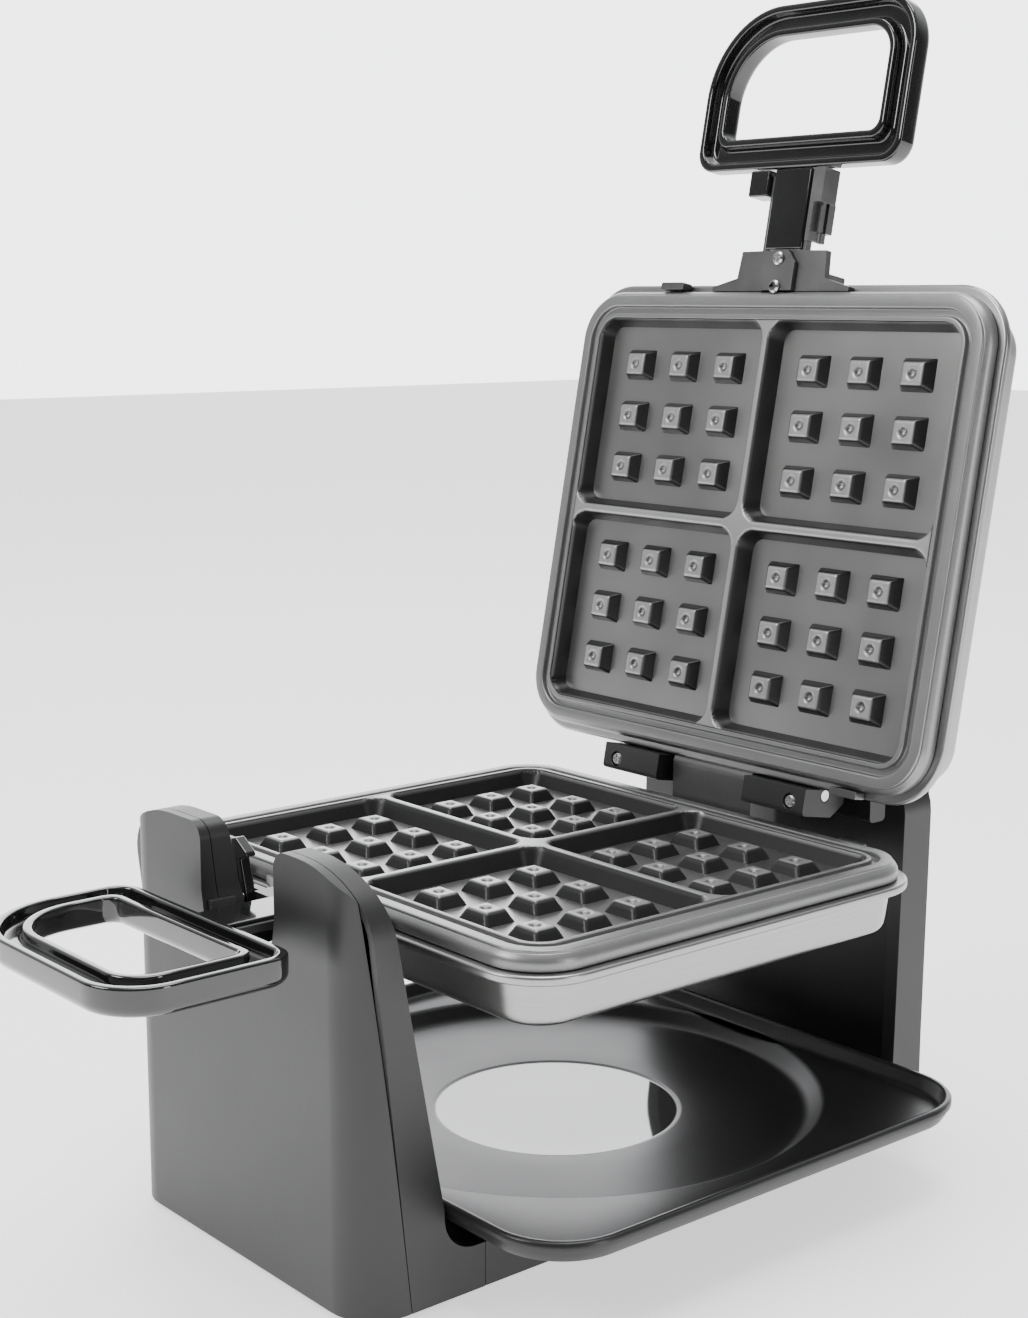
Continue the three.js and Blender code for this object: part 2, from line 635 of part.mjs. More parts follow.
// The strips run on as low feet under the tray, with a round pocket for the tray's front edge.
function frontInner() {
  const wide = BASE_HALF + 15;
  const reach = TRAY_HALF_Y - TRAY_Y + 1.5;
  const pocket = alongX(roundedBox(-reach, 0, BEAM_HEIGHT, 46, [14, 1, 1, 2]), -wide, wide);
  const root = [-FRONT_INNER.low - 6, -FOOT_REACH];
  const feet = union(
    block([BASE_X - BASE_HALF, BASE_X - BASE_HALF + SIDE_STRIP], root, [FOOT_HEIGHT, 32]),
    block([BASE_X + BASE_HALF - SIDE_STRIP, BASE_X + BASE_HALF], root, [FOOT_HEIGHT, 32]),
  );
  const opening = block(
    [BASE_X - BASE_HALF + SHELL_WALL, BASE_X + BASE_HALF - SHELL_WALL],
    [-200, 0], [0, floorTop + GAP],
  );
  return geometryOf(towerInner(FRONT_SEAM, FRONT_INNER, true).add(feet)
    .subtract(pocket).subtract(opening));
}

// Turns a tower that faces the handles so that it faces the rear, about the towers' middle.
const turnedRound = (manifold) => manifold.translate([-BASE_X, 0, 0]).rotate([0, 0, 180])
  .translate([BASE_X, 0, 0]);

const glandHeight = 34;
const glandX = 40;

function rearCover() {
  const cover = turnedRound(towerCover(REAR_FACE, REAR_SEAM, false));
  return geometryOf(cover.subtract(rod('y', 5.5, REAR_FACE - 10, REAR_FACE + 5, [glandX, glandHeight])));
}

const bushRadius = SHAFT_RADIUS + 5;

function rearInner() {
  const bore = rod('y', bushRadius + GAP, 120, REAR_FACE - 15, [0, FLIP_HEIGHT], 32);
  return geometryOf(turnedRound(towerInner(REAR_SEAM, REAR_INNER, false)).subtract(bore));
}

function trayPlace(extra) {
  return turned([
    [0, DISC_HEIGHT - TRAY_WALL - extra], [DISC_RADIUS, DISC_HEIGHT - TRAY_WALL - extra],
    [WELL_STEP_RADIUS + extra, WELL_STEP - TRAY_WALL - extra],
    [WELL_RADIUS + TRAY_WALL + extra, TRAY_FLOOR], [WELL_RADIUS + TRAY_WALL + extra, 60], [0, 60],
  ], [0, TRAY_Y], 64);
}

// Floor pan with two side beams and a ring that carries the tray.
function basePan() {
  const side = BASE_HALF - SHELL_WALL - GAP;
  const plate = slab(roundedBox(
    BASE_X - side, BASE_X + side, -FRONT_FACE + SHELL_WALL + GAP, REAR_FACE - SHELL_WALL - GAP,
    TOWER_CORNER - SHELL_WALL,
  ), FOOT_HEIGHT, floorTop);
  const run = [-FOOT_REACH + GAP, REAR_INNER.low - GAP];
  const beams = union(
    block([BASE_X - BASE_HALF, BASE_X - side + 2], run, [FOOT_HEIGHT, BEAM_HEIGHT]),
    block([BASE_X + side - 2, BASE_X + BASE_HALF], run, [FOOT_HEIGHT, BEAM_HEIGHT]),
  );
  const ring = rod('z', 44, FOOT_HEIGHT + 1, DISC_HEIGHT - TRAY_WALL - GAP, [0, TRAY_Y], 40)
    .subtract(rod('z', 41, floorTop, 60, [0, TRAY_Y], 40));
  const holes = union(...footPlaces().map(([x, y]) => rod('z', FOOT_PEG + GAP, 0, 20, [x, y], 16)));
  return geometryOf(union(plate, beams.subtract(trayPlace(GAP)), ring).subtract(holes));
}

const FOOT_RADIUS = 8;
const FOOT_PEG = 3;

function footPlaces() {
  const x = BASE_HALF - 17;
  return [
    [BASE_X - x, -FRONT_FACE + 20], [BASE_X + x, -FRONT_FACE + 20],
    [BASE_X - x, REAR_FACE - 20], [BASE_X + x, REAR_FACE - 20],
  ];
}

function foot() {
  return geometryOf(union(
    rod('z', FOOT_RADIUS, 0, FOOT_HEIGHT - GAP, [0, 0]), rod('z', FOOT_PEG, 0, floorTop - 0.5, [0, 0], 16),
  ));
}

// Half ring that lines the notch and carries the necks.
function cradle() {
  const middle = (NOTCH_RIGHT + NOTCH_LEFT) / 2;
  const outer = (NOTCH_RIGHT - NOTCH_LEFT) / 2 - GAP;
  const y = [-FRONT_FACE + 2, -FRONT_INNER.high + 1.5];
  return geometryOf(rod('y', outer, y[0], y[1], [middle, FLIP_HEIGHT], 40)
    .subtract(rod('y', outer - 2.2, y[0] - 1, y[1] + 1, [middle, FLIP_HEIGHT], 40))
    .subtract(block([-60, 60], [-200, 0], [FLIP_HEIGHT - 4, 200])));
}

function bush() {
  const y = [REAR_INNER.high - 1, REAR_INNER.high + 8];
  const ring = rod('y', bushRadius, y[0], y[1], [0, FLIP_HEIGHT], 32);
  return geometryOf(ring.subtract(
    rod('y', SHAFT_RADIUS + SHAFT_CLEARANCE, y[0] - 1, y[1] + 1, [0, FLIP_HEIGHT], 32),
  ));
}

function shaft() {
  const y = [YOKE_REAR - 9.5, REAR_FACE - SHELL_WALL - 3];
  return geometryOf(rod('y', SHAFT_RADIUS, y[0], y[1], [0, GAP], 32)
    .subtract(rod('y', SHAFT_BORE, y[0] - 1, y[1] + 1, [0, GAP], 24)));
}

function gland() {
  const y = [REAR_FACE - SHELL_WALL - 3, REAR_FACE + 4];
  return geometryOf(union(
    rod('y', 5.2, y[0], y[1], [glandX, glandHeight]),
    rod('y', 8, REAR_FACE + GAP, y[1], [glandX, glandHeight]),
  ).subtract(rod('y', 3.2, y[0] - 1, y[1] + 1, [glandX, glandHeight])));
}

// ---------------------------------------------------------------- drip tray

// Square tray with a turned rim and a round well that leaves room for the clamshell to turn.
function tray() {
  const outline = (inset) => roundedBox(
    -TRAY_HALF_X + inset, TRAY_HALF_X - inset, TRAY_Y - TRAY_HALF_Y + inset,
    TRAY_Y + TRAY_HALF_Y - inset, TRAY_CORNER - inset,
  );
  const lip = slab(outline(0), TRAY_RIM - TRAY_LIP, TRAY_RIM);
  const wall = slab(outline(1.2), TRAY_FLOOR - TRAY_WALL, TRAY_RIM);
  const room = slab(outline(1.2 + TRAY_WALL), TRAY_FLOOR, TRAY_RIM + 1);
  const well = turned([
    [0, DISC_HEIGHT - TRAY_WALL], [DISC_RADIUS, DISC_HEIGHT - TRAY_WALL],
    [WELL_STEP_RADIUS, WELL_STEP - TRAY_WALL], [WELL_RADIUS + TRAY_WALL, TRAY_FLOOR - TRAY_WALL],
    [WELL_RADIUS + TRAY_WALL, TRAY_FLOOR], [0, TRAY_FLOOR],
  ], [0, TRAY_Y], 64);
  const hollow = turned([
    [0, DISC_HEIGHT], [DISC_RADIUS, DISC_HEIGHT], [WELL_STEP_RADIUS - 1, WELL_STEP],
    [WELL_RADIUS, TRAY_FLOOR], [WELL_RADIUS, TRAY_FLOOR + 1], [0, TRAY_FLOOR + 1],
  ], [0, TRAY_Y], 64);
  return geometryOf(union(lip, wall, well).subtract(room).subtract(hollow));
}

// ---------------------------------------------------------------- latches and small pieces

// Hook that stands up beside the lower bracket and catches the upper one. Machine frame.
const HOOK_X = -BRACKET_HALF - 4;
const HOOK_LEAN = 15;                 // released hook leans away from the bracket, degrees
const HOOK_PIVOT = -6.5;

function hook() {
  const shape = polygon([
    [-2.3, -HOOK_LOW], [2.3, -HOOK_LOW], [2.3, HOOK_CATCH], [6.8, HOOK_CATCH],
    [6.8, HOOK_CATCH + 1.7], [1, HOOK_CATCH + 8], [-2.3, HOOK_CATCH + 8],
  ]);
  return geometryOf(alongY(shape, -2, 2.5).subtract(rod('y', 1.5 + GAP, -5, 5, [0, 0], 16)));
}

const HOOK_LOW = 4;
const hookLug = [-BRACKET_REACH + 2.3, -BRACKET_REACH + 5.5];
const HOOK_CATCH = -flangeTop + 2 * GAP - HOOK_PIVOT;  // beak above the closed upper bracket
const hookY = -BRACKET_REACH - 0.6;

function latchPin() {
  return geometryOf(rod('y', 1.5, hookY - 2.3, hookLug[1], [HOOK_X, HOOK_PIVOT], 16));
}

// Clip beside the upper neck.
function clip(side) {
  const x0 = NECK_HALF + GAP;
  const x1 = NECK_HALF + 6.5;
  const arm = block([x0, x0 + 2.2], [-HANDLE_REAR + 4, -BRACKET_REACH - 4], [-12, -1.5]);
  const head = block([x0, x1], [-HANDLE_REAR + 0.6, -HANDLE_REAR + 15], [-11, -1.5]);
  const tail = block([x0 + 1, x1 - 1.5], [-HANDLE_REAR + 14.5, -BRACKET_REACH - 8], [-13, -5]);
  const bore = rod('y', 1.5 + GAP, -200, 0, [x0 + 3.2, -8], 16);
  const solidClip = union(arm, head, tail).subtract(bore);
  return geometryOf(side < 0 ? solidClip.mirror([1, 0, 0]) : solidClip);
}

// Stop block on the other side of the neck.
function guideBlock(side) {
  const x = [NECK_HALF + GAP, NECK_HALF + 11.5];
  const piece = slab(roundedBox(x[0], x[1], -HANDLE_REAR + 0.6, -FRONT_FACE - 1.2, 1), -11, -1.5);
  return geometryOf(side < 0 ? piece.mirror([1, 0, 0]) : piece);
}

// Spring clip that holds the removable plate, with its thumb tab on the flange.
function plateClip(end) {
  const y = end * (skirtY + 0.6);
  const shape = roundedBox(-7, 7, Math.min(y, y + end * 3.2), Math.max(y, y + end * 3.2), 0.8);
  return geometryOf(slab(shape, flangeTop + GAP, -1.4));
}

// ---------------------------------------------------------------- assembly

const model = new THREE.Group();

function mesh(name, geometry, finish, parent, place = [0, 0, 0], turn = [0, 0, 0]) {
  const piece = new THREE.Mesh(geometry, new THREE.MeshStandardMaterial(finishes[finish]));
  piece.name = name;
  piece.position.set(...place);
  piece.rotation.set(...turn);
  parent.add(piece);
  return piece;
}

// base
mesh('front_cover', frontCover(), 'black', model);
mesh('front_inner_shell', frontInner(), 'black', model);
mesh('rear_cover', rearCover(), 'black', model);
mesh('rear_inner_shell', rearInner(), 'black', model);
mesh('base_pan', basePan(), 'black', model);
mesh('neck_cradle', cradle(), 'black', model);
mesh('rear_bush', bush(), 'brass', model);
mesh('cord_gland', gland(), 'rubber', model);
footPlaces().forEach(([x, y], i) => mesh(`foot_${i + 1}`, foot(), 'rubber', model, [x, y, 0]));
mesh('drip_tray', tray(), 'tray', model);

// the pieces that both halves have
function addHalf(prefix, parent, side) {
  mesh(`${prefix}_housing`, housing(), 'steel', parent);
  mesh(`${prefix}_plate`, grillPlate(), 'plate', parent);
  mesh(`${prefix}_heater`, heater(), 'screw', parent);
  mesh(`${prefix}_reflector`, reflector(), 'steel', parent);
  mesh(`${prefix}_bracket`, frontBracket(side > 0), 'bracket', parent);
  mesh(`${prefix}_strap`, strap(), 'bracket', parent);
  screwPlaces.forEach((y, i) => {
    mesh(`${prefix}_screw_${i + 1}`, screw(5), 'screw', parent, [0, y, strapTop + GAP]);
  });
  mesh(`${prefix}_neck`, neck(), 'gloss', parent);
  mesh(`${prefix}_handle`, handle(side), 'gloss', parent);
  mesh(`${prefix}_clip_front`, plateClip(-1), 'bracket', parent, [-side * 62, 0, 0]);
  mesh(`${prefix}_clip_rear`, plateClip(1), 'bracket', parent, [side * 78, 0, 0]);
}

const lower = new THREE.Group();
lower.position.z = rimHeight;
model.add(lower);
addHalf('lower', lower, 1);
mesh('lower_thermostat', thermostat(), 'black', lower);
mesh('rear_yoke', yoke(), 'bracket', lower);
mesh('rear_shaft', shaft(), 'screw', lower);
mesh('hinge_pin', geometryOf(rod('x', PIN_RADIUS, -EAR_OUTER, EAR_OUTER, [HINGE_Y, hingeZ], 16)),
  'screw', lower);
mesh('latch_hook', hook(), 'gloss', lower, [HOOK_X, hookY, HOOK_PIVOT],
  [0, -THREE.MathUtils.degToRad(HOOK_LEAN), 0]);
mesh('latch_pin', latchPin(), 'screw', lower);

const lid = new THREE.Group();
lid.position.set(0, HINGE_Y, FLIP_HEIGHT + HINGE_RISE);
lid.rotation.x = -THREE.MathUtils.degToRad(LID_OPEN);
model.add(lid);
const upper = new THREE.Group();
upper.position.set(0, -HINGE_Y, GAP - HINGE_RISE);
upper.rotation.y = Math.PI;
lid.add(upper);
addHalf('upper', upper, -1);
mesh('upper_fuse', thermostat(), 'black', upper);
for (const [name, side] of [['left', 1], ['right', -1]]) {
  mesh(`hinge_ear_${name}`, ear(side), 'black', upper);
  mesh(`ear_screw_${name}`, screw(6), 'screw', upper, [side * earScrewX, earScrewY, -1.7]);
}
mesh('latch_clip', clip(-1), 'bracket', upper);
mesh('guide_block', guideBlock(1), 'gloss', upper);

// origin at the middle of the bottom of the box
model.updateMatrixWorld(true);
const box = new THREE.Box3().setFromObject(model, true);
const assembly = new THREE.Group();
model.position.set(-(box.min.x + box.max.x) / 2, -(box.min.y + box.max.y) / 2, -box.min.z);
assembly.add(model);

export default assembly;
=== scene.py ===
import json
import math

import bmesh
import bpy
import numpy as np
from mathutils import Matrix, Vector


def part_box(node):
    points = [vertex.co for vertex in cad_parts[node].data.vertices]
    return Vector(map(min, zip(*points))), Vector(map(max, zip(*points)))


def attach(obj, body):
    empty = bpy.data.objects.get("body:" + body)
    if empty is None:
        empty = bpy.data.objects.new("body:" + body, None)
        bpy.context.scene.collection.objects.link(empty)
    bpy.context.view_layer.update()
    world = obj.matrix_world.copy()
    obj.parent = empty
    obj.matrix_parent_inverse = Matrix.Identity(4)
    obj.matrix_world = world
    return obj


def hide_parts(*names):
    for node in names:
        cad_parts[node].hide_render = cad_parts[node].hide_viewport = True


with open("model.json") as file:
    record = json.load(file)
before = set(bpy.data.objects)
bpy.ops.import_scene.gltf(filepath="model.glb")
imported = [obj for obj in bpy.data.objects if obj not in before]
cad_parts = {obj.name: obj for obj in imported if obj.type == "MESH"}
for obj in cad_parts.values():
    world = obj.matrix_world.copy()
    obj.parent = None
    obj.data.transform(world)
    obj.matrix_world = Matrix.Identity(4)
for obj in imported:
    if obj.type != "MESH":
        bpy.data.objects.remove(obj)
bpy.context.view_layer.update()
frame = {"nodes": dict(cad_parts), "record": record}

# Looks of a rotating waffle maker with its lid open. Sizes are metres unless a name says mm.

MM = 0.001
JOINTS = {joint["name"]: joint for joint in frame["record"]["behaviour"]["joints"]}
FLIP = Vector(JOINTS["clamshell_flip"]["pos_m"])
HINGE = Vector(JOINTS["lid_hinge"]["pos_m"])
LID_OPEN = math.radians(JOINTS["lid_hinge"]["range_deg"][1])
HALF_GAP = 0.3 * MM
PLATE_MIDDLE_Y = sum(corner[1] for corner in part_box("lower_plate")) / 2


# ---------------------------------------------------------------- camera, light and floor

CAMERA_PLACE = (0.6195, -0.5297 + PLATE_MIDDLE_Y, 0.3538)
CAMERA_AZIMUTH = 50.02
CAMERA_ELEVATION = 9.88
CAMERA_LENS = 57.25
CAMERA_SENSOR = 36
BEHIND = (-0.77, 0.64, 0)
LIGHT_TARGET = (0, 0, 0.2)
FLOOR_REACH = 6


def add_camera():
    camera = bpy.data.objects.new("camera", bpy.data.cameras.new("camera"))
    camera.data.sensor_fit = "VERTICAL"
    camera.data.sensor_height = CAMERA_SENSOR
    camera.data.lens = CAMERA_LENS
    camera.data.clip_end = 20
    camera.location = CAMERA_PLACE
    camera.rotation_euler = (math.radians(90 - CAMERA_ELEVATION), 0, math.radians(CAMERA_AZIMUTH))
    bpy.context.collection.objects.link(camera)
    bpy.context.scene.camera = camera


def add_area(name, place, size, power):
    """A soft rectangular light at place that faces the middle of the machine."""
    light = bpy.data.lights.new(name, "AREA")
    light.shape = "RECTANGLE"
    light.size, light.size_y = size
    light.energy = power
    lamp = bpy.data.objects.new(name, light)
    lamp.location = place
    lamp.rotation_euler = (Vector(LIGHT_TARGET) - Vector(place)).to_track_quat("-Z", "Y").to_euler()
    bpy.context.collection.objects.link(lamp)


def add_studio(floor_material):
    """A white sweep behind the machine, a dim surround, three soft lights and a white floor."""
    world = bpy.data.worlds.new("studio")
    world.use_nodes = True
    tree = world.node_tree
    background = tree.nodes["Background"]
    bpy.context.scene.world = world
    direction = tree.nodes.new("ShaderNodeTexCoord").outputs["Generated"]

    def towards(x, y, z):
        dot = tree.nodes.new("ShaderNodeVectorMath")
        dot.operation = "DOT_PRODUCT"
        tree.links.new(direction, dot.inputs[0])
        dot.inputs[1].default_value = (x, y, z)
        return Socket(tree, dot.outputs["Value"])

    backdrop = towards(*BEHIND).above(0.0, 0.45)
    sweep = towards(*BEHIND).above(0.72, 0.16)
    overhead = towards(0, 0, 1).above(0.35, 0.5)
    strength = 0.10 + 0.75 * backdrop + 3.4 * sweep + 0.5 * overhead
    tree.links.new(strength.socket, background.inputs["Strength"])
    background.inputs["Color"].default_value = (0.97, 0.98, 1.0, 1)
    add_area("key", (-0.6, -1.6, 1.5), (0.9, 0.7), 24)
    add_area("side", (1.9, 0.35, 0.55), (0.35, 0.9), 7)
    add_area("top", (0, 0.2, 2.0), (1.2, 1.2), 34)
    floor = bpy.data.meshes.new("floor")
    r = FLOOR_REACH
    floor.from_pydata([(-r, -r, 0), (r, -r, 0), (r, r, 0), (-r, r, 0)], [], [(0, 1, 2, 3)])
    floor.materials.append(floor_material)
    piece = bpy.data.objects.new("floor", floor)
    bpy.context.collection.objects.link(piece)


# ---------------------------------------------------------------- shader arithmetic

class Socket:
    """A number socket of a node tree. The usual operators add Math nodes."""

    def __init__(self, tree, socket):
        self.tree = tree
        self.socket = socket

    def _math(self, operation, *values):
        node = self.tree.nodes.new("ShaderNodeMath")
        node.operation = operation
        for slot, value in zip(node.inputs, values):
            if isinstance(value, Socket):
                self.tree.links.new(value.socket, slot)
            else:
                slot.default_value = value
        return Socket(self.tree, node.outputs[0])

    def __add__(self, other):
        return self._math("ADD", self, other)

    def __radd__(self, other):
        return self._math("ADD", other, self)

    def __sub__(self, other):
        return self._math("SUBTRACT", self, other)

    def __rsub__(self, other):
        return self._math("SUBTRACT", other, self)

    def __mul__(self, other):
        return self._math("MULTIPLY", self, other)

    def __rmul__(self, other):
        return self._math("MULTIPLY", other, self)

    def __pow__(self, other):
        return self._math("POWER", self, other)

    def above(self, edge, width):
        """0 below edge, 1 above edge + width, with a straight ramp between them."""
        ramp = (self - edge) * (1 / width)
        ramp.socket.node.use_clamp = True
        return ramp


class Finish:
    """A material under construction: its Principled shader and the nodes that feed it."""

    def __init__(self, name):
        self.material = bpy.data.materials.new(name)
        self.material.use_nodes = True
        self.tree = self.material.node_tree
        self.shader = self.tree.nodes["Principled BSDF"]

    def node(self, kind, inputs=None, output=0, **settings):
        """Adds any node, with its settings and inputs, and returns one output."""
        node = self.tree.nodes.new(kind)
        for key, value in settings.items():
            setattr(node, key, value)
        for key, value in (inputs or {}).items():
            self.feed(node.inputs[key], value)
        return Socket(self.tree, node.outputs[output])

    def feed(self, slot, value):
        if isinstance(value, Socket):
            self.tree.links.new(value.socket, slot)
        else:
            slot.default_value = value

    def set(self, **inputs):
        for key, value in inputs.items():
            self.feed(self.shader.inputs[key.replace("_", " ")], value)
        return self

    def place(self, name=None, scale=(1, 1, 1)):
        """Object coordinates, or a stored vector attribute, scaled along each axis."""
        if name:
            source = self.node("ShaderNodeAttribute", output="Vector", attribute_name=name)
        else:
            source = self.node("ShaderNodeTexCoord", output="Object")
        return self.node("ShaderNodeMapping", {"Vector": source, "Scale": scale})

    def noise(self, place, scale, detail=2.0, roughness=0.5):
        return self.node("ShaderNodeTexNoise", {
            "Vector": place, "Scale": scale, "Detail": detail, "Roughness": roughness,
        })

    def blend(self, amount, first, second):
        """Mixes two colours."""
        mix = self.tree.nodes.new("ShaderNodeMix")
        mix.data_type = "RGBA"
        self.feed(mix.inputs[0], amount)
        self.feed(mix.inputs[6], first)
        self.feed(mix.inputs[7], second)
        return Socket(self.tree, mix.outputs[2])

    def bump(self, height, strength, distance):
        return self.set(Normal=self.node("ShaderNodeBump", {
            "Height": height, "Strength": strength, "Distance": distance,
        }))


def grey(value, warm=0.0):
    return (value * (1 + warm), value, value * (1 - warm), 1)


# ---------------------------------------------------------------- finishes

def satin_plastic():
    """Spark-eroded charcoal moulding: a fine grain, uneven sheen and faint rub marks."""
    f = Finish("satin_plastic")
    place = f.place()
    grain = f.noise(place, 2600, 3, 0.6)
    sheen = f.noise(place, 35, 4, 0.6)
    rubs = f.noise(f.place(scale=(1, 1, 0.25)), 160, 5, 0.7).above(0.6, 0.2)
    f.set(
        Base_Color=f.blend(sheen, grey(0.012), grey(0.02)),
        Roughness=0.33 + 0.1 * sheen + 0.07 * grain - 0.06 * rubs,
        Specular_IOR_Level=0.55,
    )
    return f.bump(grain, 0.16, 0.06 * MM).material


def gloss_plastic():
    """Polished black moulding with faint handling smears and orange peel."""
    f = Finish("gloss_plastic")
    place = f.place()
    smear = f.noise(f.place(scale=(1, 0.3, 1)), 55, 5, 0.65)
    peel = f.noise(place, 260, 2, 0.4)
    f.set(
        Base_Color=f.blend(smear, grey(0.006), grey(0.012)),
        Roughness=0.05 + 0.12 * smear ** 2,
        Coat_Weight=0.6 + 0.3 * smear, Coat_Roughness=0.05,
    )
    return f.bump(peel, 0.05, 0.1 * MM).material


def tray_plastic():
    """Dark satin tray whose round middle disc is polished to a mirror gloss."""
    f = Finish("tray_plastic")
    place = f.place()
    disc = f.node("ShaderNodeAttribute", output="Fac", attribute_name="disc")
    grain = f.noise(place, 2200, 3, 0.6)
    haze = f.noise(place, 22, 4, 0.6)
    scuff = f.noise(f.place(scale=(0.15, 1, 1)), 420, 4, 0.7).above(0.62, 0.2)
    satin = 0.26 + 0.1 * haze + 0.05 * grain - 0.04 * scuff
    polished = 0.03 + 0.03 * haze
    f.set(
        Base_Color=f.blend(disc, f.blend(haze, grey(0.009), grey(0.016)), grey(0.3)),
        Metallic=0.7 * disc,
        Roughness=satin * (1 - disc) + polished * disc,
        Specular_IOR_Level=0.55,
    )
    return f.bump(grain * (1 - disc), 0.14, 0.06 * MM).material


def nonstick():
    """Speckled non-stick coating on cast metal, with painted light and shade: a lit copy of its colour
    on level faces, a shaded copy on sloped walls, and painted shade darker down in the fields, which are
    rougher too.
    """
    f = Finish("nonstick")
    place = f.place("half")
    # Height fraction from the field floors up to the rim, used below for painted shade and for the
    # flakes' gloss.
    height_for_shade_and_gloss = f.node("ShaderNodeAttribute", output="Fac", attribute_name="height_for_shade_and_gloss")
    speck = f.noise(place, 2400, 3, 0.75)
    flake = f.noise(place, 5200, 1, 0.5).above(0.58, 0.1)
    cloud = f.noise(place, 26, 5, 0.6)
    # Painted light by slope: 1 on level faces, lower on sloped walls.
    painted_light_by_slope = f.node("ShaderNodeAttribute", output="Fac", attribute_name="painted_light_by_slope")
    # The dark and the light colour are a shaded and a lit copy of the same coating: painted shade and
    # painted light.
    dark = f.blend(speck, grey(0.02), grey(0.055))
    light = f.blend(speck, grey(0.3), grey(0.56))
    # Painted light and shade: level faces take the lit copy, sloped walls the shaded copy, and the
    # colour is painted darker down in the fields; the cloud adds random tone.
    tone = f.blend(painted_light_by_slope * (0.8 + 0.2 * height_for_shade_and_gloss) * (0.85 + 0.2 * cloud), dark, light)
    f.set(
        # The light flakes are the coating's own flecks, shown only where level faces get painted light.
        Base_Color=f.blend(flake * 0.3 * painted_light_by_slope, tone, grey(0.6)),
        Metallic=0.75 + 0.15 * flake,
        Roughness=0.33 + 0.1 * cloud - 0.08 * flake * height_for_shade_and_gloss,
    )
    return f.bump(speck, 0.25, 0.07 * MM).material


def stainless():
    """Brushed stainless sheet. The brushing runs round the sides, along the flange."""
    f = Finish("stainless")
    brush = f.noise(f.place("half", (12, 12, 3400)), 1, 3, 0.6)
    broad = f.noise(f.place("half", (3, 3, 700)), 1, 2, 0.5)
    cloud = f.noise(f.place("half"), 14, 4, 0.6)
    f.set(
        Base_Color=f.blend(brush, grey(0.3, 0.01), grey(0.42, 0.01)),
        Metallic=1.0,
        Roughness=0.2 + 0.12 * brush + 0.06 * broad + 0.06 * cloud,
    )
    return f.bump(brush, 0.12, 0.04 * MM).material


def cast_metal():
    """Tumbled, lacquered bracket metal with a soft satin sheen."""
    f = Finish("cast_metal")
    place = f.place()
    grain = f.noise(place, 1900, 4, 0.6)
    cloud = f.noise(place, 60, 4, 0.6)
    f.set(
        Base_Color=f.blend(cloud, grey(0.11), grey(0.19)),
        Metallic=0.9,
        Roughness=0.27 + 0.12 * cloud + 0.08 * grain,
    )
    return f.bump(grain, 0.12, 0.05 * MM).material


def yoke_metal():
    """Dark satin casting whose hinge tongue, in front of the cross bar, is a lighter, more metallic
    grey.
    """
    f = Finish("yoke_metal")
    place = f.place()
    grain = f.noise(place, 1900, 4, 0.6)
    depth = f.node("ShaderNodeSeparateXYZ", {"Vector": place}, output="Y")
    dark = depth.above(HINGE.y + 8 * MM, 3 * MM)
    f.set(
        Base_Color=f.blend(dark, f.blend(grain, grey(0.14), grey(0.22)), grey(0.02)),
        Metallic=0.8 - 0.6 * dark,
        Roughness=0.33 + 0.1 * grain,
    )
    return f.bump(grain, 0.12, 0.05 * MM).material


def bright_steel():
    """Turned and plated steel: screws, pins and shaft."""
    f = Finish("bright_steel")
    place = f.place()
    turning = f.noise(f.place(scale=(1, 1, 5)), 1500, 2, 0.5)
    cloud = f.noise(place, 240, 3, 0.6)
    f.set(
        Base_Color=f.blend(cloud, grey(0.5), grey(0.72)),
        Metallic=1.0,
        Roughness=0.16 + 0.14 * turning,
    )
    return f.bump(turning, 0.06, 0.03 * MM).material


def rubber():
    f = Finish("rubber")
    dust = f.noise(f.place(), 700, 4, 0.7)
    f.set(Base_Color=f.blend(dust, grey(0.015), grey(0.035)), Roughness=0.75 + 0.15 * dust)
    return f.bump(dust, 0.2, 0.1 * MM).material


def bronze():
    f = Finish("bronze")
    pores = f.noise(f.place(), 2600, 3, 0.7)
    f.set(
        Base_Color=f.blend(pores, (0.3, 0.2, 0.08, 1), (0.52, 0.37, 0.17, 1)),
        Metallic=0.9, Roughness=0.35 + 0.2 * pores,
    )
    return f.bump(pores, 0.2, 0.05 * MM).material


def phenolic():
    f = Finish("phenolic")
    fleck = f.noise(f.place(), 1200, 4, 0.7)
    f.set(Base_Color=f.blend(fleck, grey(0.02, 0.15), grey(0.045, 0.15)), Roughness=0.4 + 0.2 * fleck)
    return f.bump(fleck, 0.15, 0.06 * MM).material


def floor_finish():
    f = Finish("floor_finish")
    cloud = f.noise(f.place(), 3, 4, 0.5)
    f.set(
        Base_Color=f.blend(cloud, grey(0.86), grey(0.9)), Roughness=0.55 + 0.1 * cloud,
        Emission_Color=grey(1.0), Emission_Strength=1.05,
    )
    return f.material


FINISHES = {
    "satin_plastic": satin_plastic(), "gloss_plastic": gloss_plastic(),
    "tray_plastic": tray_plastic(), "nonstick": nonstick(), "stainless": stainless(),
    "cast_metal": cast_metal(), "yoke_metal": yoke_metal(), "bright_steel": bright_steel(),
    "rubber": rubber(), "bronze": bronze(), "phenolic": phenolic(),
}
SLOTS = {part["node"]: part["material_slot"] for part in frame["record"]["subparts"]}
BODIES = {node: body for body, nodes in frame["record"]["behaviour"]["bodies"].items() for node in nodes}


# ---------------------------------------------------------------- meshes from arrays

